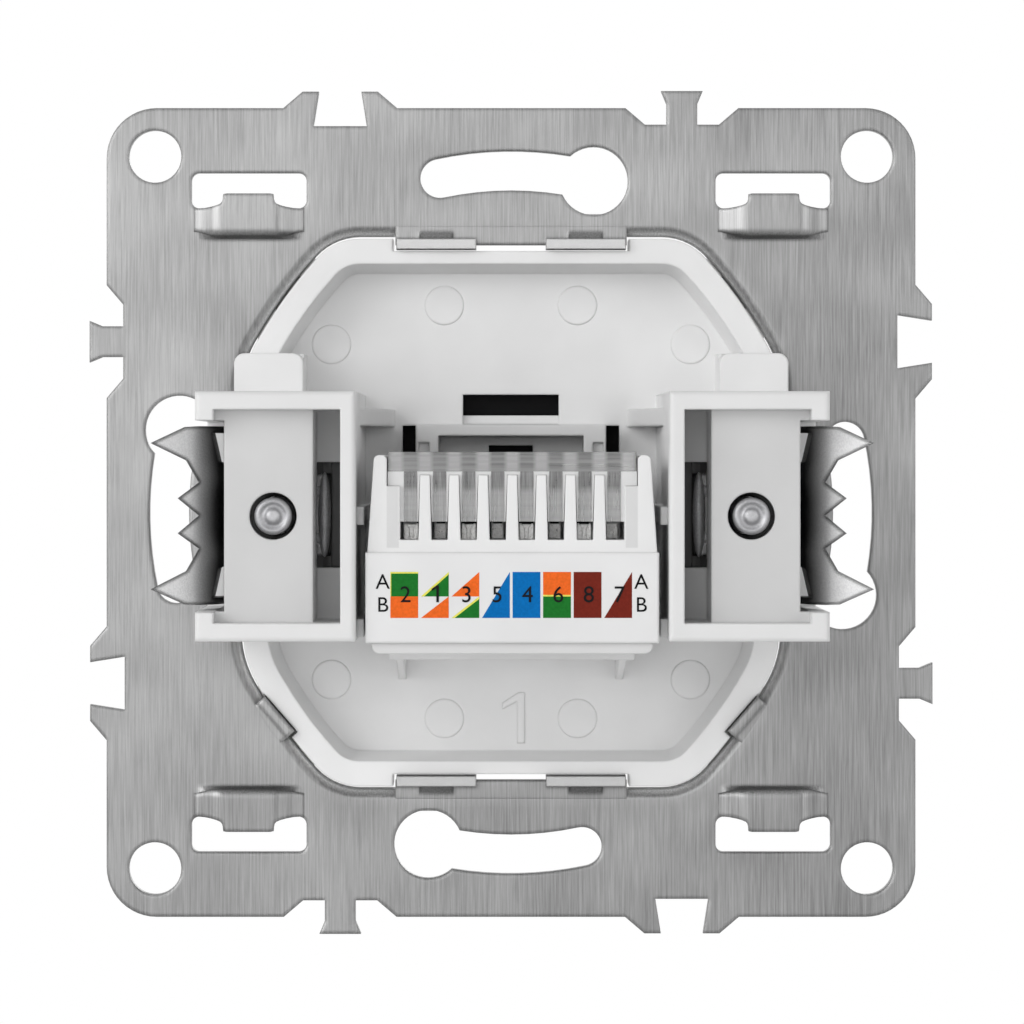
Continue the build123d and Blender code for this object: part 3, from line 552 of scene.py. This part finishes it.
# Yellow lines along the edges of four cells
left, right = cell(0)
printed_field("edge_0", [
    (left, CELL_MIDDLE), (left + YELLOW_LINE / 2, CELL_MIDDLE),
    (left + YELLOW_LINE / 2, CELL_TOP - YELLOW_LINE), (right, CELL_TOP - YELLOW_LINE),
    (right, CELL_TOP), (left, CELL_TOP),
], YELLOW, LINE_LAYER)
for index, (low, high) in ((1, UPPER), (2, LOWER)):
    left, right = cell(index)
    printed_field(f"edge_{index}", [
        (left, low), (left + 2 * YELLOW_LINE, low), (right, high - 1.5 * YELLOW_LINE),
        (right, high),
    ], YELLOW, LINE_LAYER)
outline = rectangle(*cell(5), CELL_MIDDLE, CELL_MIDDLE + YELLOW_LINE)
printed_field("edge_5", outline, YELLOW, LINE_LAYER)

for index, digit in enumerate(DIGITS):
    name = f"wire_number_{index}"
    middle = sum(cell(index)) / 2
    if digit == "1":
        outline = figure_one(middle + ONE_SHIFT, DIGIT_FOOT, DIGIT_SIZE)
        printed_field(name, outline, BLACK, DIGIT_LAYER)
    else:
        printed_character(name, digit, middle + DIGIT_SHIFT, DIGIT_FOOT, DIGIT_SIZE, DIGIT_LAYER)
for letter, foot in ROW_LETTERS:
    for side, x in ROW_LETTER_X:
        name = f"row_{letter}_{side}"
        printed_character(name, letter, x, foot, ROW_LETTER_SIZE, LETTER_LAYER)

# Raised mould number and ejector marks on the housing's floor
MOULD_FIGURE = dict(middle=0.3, foot=-20.5, height=6.2)
MOULD_RISE = 0.1
EJECTOR_RADIUS = 1.85
EJECTOR_HEIGHT = 0.06
EJECTOR_SPOTS = ((5.9, 18.3), (15.9, 14.85))

add_plates(
    "mould_number", [figure_one(**MOULD_FIGURE)], HOUSING_FLOOR - MOULD_RISE,
    HOUSING_FLOOR + MOULD_RISE, white_plastic, "socket", "housing_plastic",
)
spots = [(side * x, end * z) for x, z in EJECTOR_SPOTS for side in SIDES for end in SIDES]
for index, (x, z) in enumerate(spots):
    name = f"ejector_mark_{index}"
    form = bmesh.new()
    bmesh.ops.create_cone(
        form, cap_ends=True, segments=64, radius1=EJECTOR_RADIUS * MM,
        radius2=(EJECTOR_RADIUS - 3 * EJECTOR_HEIGHT) * MM, depth=2 * EJECTOR_HEIGHT * MM,
    )
    disc = mesh_of(name, form, white_plastic)
    place_piece(name, disc, "socket", (x, HOUSING_FLOOR, z), REARWARD)


# Rolled edge of the collar, drawn around the collar's outline
COLLAR_FRONT = 3.0
COLLAR_SLACK = 0.02
COLLAR_WALL = 1.0
COLLAR_ROLL = 0.95
COLLAR_FLAT = 0.95
ROLL_STEPS = 8
ROLL_PROUD = 0.01
FLAT_DEPTHS = (0.004, 0.3)
INNER_POINTS = ((0.05, 1.6), (0.0, 1.5))


def outer_loop(node, y):
    """Convex outline, in millimetres, of a node's vertices at one depth."""
    points = {
        (round(v.co.x / MM, 3), round(v.co.z / MM, 3))
        for v in nodes[node].data.vertices if abs(v.co.y / MM - y) < COLLAR_SLACK
    }
    points = [Vector(p) for p in points]
    return [points[i] for i in convex_hull_2d(points)]


def roll_profile():
    """Closed section as (distance out from the outline, depth) points."""
    turns = [radians(90 * step / ROLL_STEPS) for step in range(ROLL_STEPS + 1)]
    roll = [
        (COLLAR_ROLL * (1 - cos(turn)) - COLLAR_WALL, COLLAR_ROLL * (1 - sin(turn)) - ROLL_PROUD)
        for turn in turns
    ]
    flat_end = COLLAR_ROLL - COLLAR_WALL + COLLAR_FLAT
    flat = [(flat_end, depth) for depth in FLAT_DEPTHS]
    return roll + flat + [(out - COLLAR_WALL, depth) for out, depth in INNER_POINTS]


loop = outer_loop("support_frame", COLLAR_FRONT)
profile = roll_profile()
form = bmesh.new()
rings = []
for index, point in enumerate(loop):
    before, after = loop[index - 1], loop[(index + 1) % len(loop)]
    along = ((point - before).normalized() + (after - point).normalized()).normalized()
    outward = Vector((along.y, -along.x))
    if outward.dot(point) < 0:
        outward = -outward
    rings.append([
        form.verts.new(mm(point.x + outward.x * out, y, point.y + outward.y * out))
        for out, y in profile
    ])
for index, ring in enumerate(rings):
    following = rings[(index + 1) % len(rings)]
    for step in range(len(profile)):
        other = (step + 1) % len(profile)
        form.faces.new((ring[step], ring[other], following[other], following[step]))
add_piece("collar_roll", form, collar_steel, "socket")


# Smooth skins with cut lower edges over the four pressed bridges
HOOK_X = 23.0
BRIDGE_BOTTOM = 24.62
BRIDGE_RISE = 1.2
BRIDGE_SLOPE = (2.3, 4.9)
BRIDGE_CUT = 0.36
BRIDGE_CUT_LEAN = 0.7
BRIDGE_CUT_SPREAD = 1.5
SKIN_RISE = 0.03
SKIN_THICKNESS = 0.5
SKIN_ROWS = 10
BRIDGE_TOP = (
    (0.0, 27.95), (1.9, 27.95), (2.1, 27.91), (2.22, 27.78), (2.24, 27.5), (2.3, 27.25),
    (2.46, 27.06), (2.8, 26.92), (3.3, 26.8), (3.9, 26.71), (4.5, 26.69), (4.85, 26.72),
)


def ease(value, low, high):
    """Smooth change from 0 to 1 between two values."""
    share = min(max((value - low) / (high - low), 0.0), 1.0)
    return share * share * (3 - 2 * share)


def skin_column(form, middle, end, x, top):
    """Vertices from the cut edge of a bridge up to its top, at one distance from its middle."""
    share = 1 - ease(abs(x), *BRIDGE_SLOPE)
    rise = BRIDGE_RISE * share + SKIN_RISE
    cut = BRIDGE_CUT * min(1.0, BRIDGE_CUT_SPREAD * share)
    points = [(BRIDGE_CUT_LEAN * cut - rise, BRIDGE_BOTTOM - cut)]
    for row in range(SKIN_ROWS + 1):
        points.append((-rise, BRIDGE_BOTTOM + (top - BRIDGE_BOTTOM) * row / SKIN_ROWS))
    return [form.verts.new(mm(middle + x, y, end * z)) for y, z in points]


outline = [(-x, z) for x, z in reversed(BRIDGE_TOP[1:])] + list(BRIDGE_TOP)
for end in SIDES:
    for side in SIDES:
        form = bmesh.new()
        columns = [skin_column(form, side * HOOK_X, end, x, top) for x, top in outline]
        for left_column, right_column in zip(columns, columns[1:]):
            for row in range(SKIN_ROWS + 1):
                form.faces.new((
                    left_column[row], right_column[row],
                    right_column[row + 1], left_column[row + 1],
                ))
        bottom = bmesh.ops.extrude_face_region(form, geom=form.faces[:])
        for vertex in bottom["geom"]:
            if isinstance(vertex, bmesh.types.BMVert):
                vertex.co.y += SKIN_THICKNESS * MM
        add_piece(f"bridge_skin_{end}_{side}", form, steel, "socket")


# Moulded edges of the clear cap around the fingers, and its ends beside the posts, in the
# lighter copy as painted highlight
CAP_DEPTHS = (-25.2, -24.0)
FINGER_BOTTOM = -0.45
FINGER_EDGE = 0.5
BAR_BOTTOM = 3.75
SLOT_FOOT = 0.64
SLOT_TOP = 0.78
DIVIDER_HALF = 0.43
DIVIDER_TOP = 3.42
END_START_X = 8.9
END_DIVIDER_X = 9.33
END_STEP = 2.52
POST_X = 10.28

edges = []
for index in range(WIRE_COUNT):
    for side in SIDES:
        if (index, side) not in ((0, -1), (WIRE_COUNT - 1, 1)):
            inner, foot, top = (
                wire_x(index) + side * x for x in (FINGER_EDGE, SLOT_FOOT, SLOT_TOP)
            )
            edges.append([
                (inner, FINGER_BOTTOM), (foot, FINGER_BOTTOM), (top, BAR_BOTTOM),
                (inner, BAR_BOTTOM),
            ])
for index in range(WIRE_COUNT - 1):
    middle = wire_x(index + 0.5)
    edges.append(rectangle(
        middle - DIVIDER_HALF, middle + DIVIDER_HALF, DIVIDER_TOP, BAR_BOTTOM,
    ))
for side in SIDES:
    edges.append([(side * x, z) for x, z in (
        (END_START_X, FINGER_BOTTOM), (END_DIVIDER_X, FINGER_BOTTOM), (END_DIVIDER_X, END_STEP),
        (POST_X, END_STEP), (POST_X, BAR_BOTTOM), (END_START_X, BAR_BOTTOM),
    )])
add_plates("cap_edge_highlights", edges, *CAP_DEPTHS, highlight_plastic, "cap", "clear_plastic")

# Rounded noses of the claws, with two short arms, seen in the towers' windows
NOSE_Y = -14.75
NOSE_HALF = (0.55, 0.55, 3.6)
ARM_HALF = (0.6, 0.2, 0.45)
NOSE_BALLS = ((15.85, 0.0, NOSE_HALF), (16.25, 2.0, ARM_HALF), (16.25, -2.0, ARM_HALF))

for name, side in (("left", -1), ("right", 1)):
    form = bmesh.new()
    for x, z, half in NOSE_BALLS:
        ball = bmesh.ops.create_uvsphere(form, u_segments=24, v_segments=16, radius=MM)
        for vertex in ball["verts"]:
            vertex.co = mm(side * x, NOSE_Y, z) + vertex.co * Vector(half)
    add_piece(f"claw_nose_{name}", form, nose_steel, f"claw_{name}")

# Closed ends of the contact slits, in two rows
WEB_HALF = 0.5
WEB_HEIGHTS = (-2.0, -0.7)
WEB_REARS = (-21.4, -18.4)
WEB_THICKNESS = 0.1

webs = [
    rectangle(wire_x(index) - WEB_HALF, wire_x(index) + WEB_HALF, *WEB_HEIGHTS)
    for index in range(WIRE_COUNT)
]
for row, rear in enumerate(WEB_REARS):
    add_plates(
        f"contact_webs_{row}", webs[row::2], rear, rear + WEB_THICKNESS, contact_metal,
        "socket", "contact_metal",
    )

# Shallow notches above the jack
NOTCH_SIDES = (7.15, 8.2)
NOTCH_HEIGHTS = (5.1, 6.2)
NOTCH_DEPTHS = (1.9, 4.1)

for side in SIDES:
    low, high = sorted(side * x for x in NOTCH_SIDES)
    add_plates(
        f"notch_floor_{side}", [rectangle(low, high, *NOTCH_HEIGHTS)], *NOTCH_DEPTHS,
        white_plastic, "socket", "housing_plastic",
    )

# Sheared ends of the frame's tabs, rougher than the sheet
TAB_X = 6.55
TAB_WIDTH = 7.0
TAB_HEIGHTS = (23.05, 24.0)
TAB_REAR = -1.2
TAB_MARGIN = 0.1
SHEAR_DEPTH = 0.012

near, far = TAB_HEIGHTS
for end in SIDES:
    for side in SIDES:
        name = f"sheared_end_{end}_{side}"
        form = bmesh.new()
        bmesh.ops.create_cube(form, size=1.0)
        place_piece(
            name, mesh_of(name, form, sheared_steel), "socket",
            spot=(side * TAB_X, TAB_REAR, end * (near + far) / 2),
            scale=mm(TAB_WIDTH - TAB_MARGIN, 2 * SHEAR_DEPTH, far - near - TAB_MARGIN),
        )


# Studio: a floor that fades to plain white, soft lamps and the camera
STUDIO_FLOOR_Z = -75.0
STUDIO_FLOOR_RADIUS = 420.0
STUDIO_FLOOR_FADE = (0.09, 0.23)
STUDIO_FLOOR_COLOR = (0.9, 0.9, 0.9, 1)
FLOOR_LIGHT = 0.7
WORLD_LIGHT = 0.36


def white_to_the_eye(tree, light_level):
    """Strength 1 for camera, glossy and transmission rays, and the light level for the rest."""
    path = tree.nodes.new("ShaderNodeLightPath")
    total = path.outputs["Is Camera Ray"]
    for ray in ("Is Glossy Ray", "Is Transmission Ray"):
        either = tree.nodes.new("ShaderNodeMath")
        either.operation = "MAXIMUM"
        tree.links.new(total, either.inputs[0])
        tree.links.new(path.outputs[ray], either.inputs[1])
        total = either.outputs[0]
    level = tree.nodes.new("ShaderNodeMapRange")
    tree.links.new(total, level.inputs["Value"])
    level.inputs["To Min"].default_value = light_level
    return level.outputs["Result"]


def floor_paint():
    """Matt paint near the middle that fades to plain white further out."""
    material = bpy.data.materials.new("floor")
    material.use_nodes = True
    tree = material.node_tree
    tree.nodes.clear()
    output = tree.nodes.new("ShaderNodeOutputMaterial")
    paint = tree.nodes.new("ShaderNodeBsdfDiffuse")
    paint.inputs["Color"].default_value = STUDIO_FLOOR_COLOR
    glow = tree.nodes.new("ShaderNodeEmission")
    tree.links.new(white_to_the_eye(tree, FLOOR_LIGHT), glow.inputs["Strength"])
    place = tree.nodes.new("ShaderNodeTexCoord")
    distance = tree.nodes.new("ShaderNodeVectorMath")
    distance.operation = "LENGTH"
    tree.links.new(place.outputs["Object"], distance.inputs[0])
    whiten = tree.nodes.new("ShaderNodeMapRange")
    whiten.interpolation_type = "SMOOTHSTEP"
    whiten.inputs["From Min"].default_value = STUDIO_FLOOR_FADE[0]
    whiten.inputs["From Max"].default_value = STUDIO_FLOOR_FADE[1]
    tree.links.new(distance.outputs["Value"], whiten.inputs["Value"])
    mix = tree.nodes.new("ShaderNodeMixShader")
    tree.links.new(whiten.outputs["Result"], mix.inputs["Fac"])
    tree.links.new(paint.outputs["BSDF"], mix.inputs[1])
    tree.links.new(glow.outputs["Emission"], mix.inputs[2])
    tree.links.new(mix.outputs["Shader"], output.inputs["Surface"])
    return material


def softbox(name, spot, target, size, watts):
    """Square area lamp aimed at a point, in millimetres."""
    lamp = bpy.data.lights.new(name, "AREA")
    lamp.energy = watts
    lamp.size = size * MM
    piece = bpy.data.objects.new(name, lamp)
    piece.location = mm(*spot)
    piece.rotation_euler = (mm(*target) - piece.location).to_track_quat("-Z", "Y").to_euler()
    bpy.context.scene.collection.objects.link(piece)


form = bmesh.new()
bmesh.ops.create_circle(form, cap_ends=True, segments=96, radius=STUDIO_FLOOR_RADIUS * MM)
floor = bpy.data.objects.new("floor", mesh_of("floor", form, floor_paint()))
floor.location = mm(0, 0, STUDIO_FLOOR_Z)
bpy.context.scene.collection.objects.link(floor)

world = bpy.data.worlds.new("studio")
bpy.context.scene.world = world
world.use_nodes = True
background = world.node_tree.nodes["Background"]
background.inputs["Color"].default_value = (1, 1, 1, 1)
strength = white_to_the_eye(world.node_tree, WORLD_LIGHT)
world.node_tree.links.new(strength, background.inputs["Strength"])

softbox("key", (-520, -420, 200), (0, -10, 0), 420, 2.2)
softbox("fill", (520, -500, 120), (0, -10, 0), 420, 0.9)
softbox("front", (-200, -720, 60), (0, -10, 0), 520, 1.25)
softbox("room_key", (320, 480, 300), (0, 5, 0), 420, 2.4)

camera = bpy.data.cameras.new("camera")
camera.lens = LENS
camera.shift_x, camera.shift_y = SHIFT
camera_piece = bpy.data.objects.new("camera", camera)
camera_piece.location = mm(*CAMERA_SPOT)
camera_piece.rotation_euler = REARWARD
bpy.context.scene.collection.objects.link(camera_piece)
bpy.context.scene.camera = camera_piece
bpy.context.scene.view_settings.view_transform = "Standard"
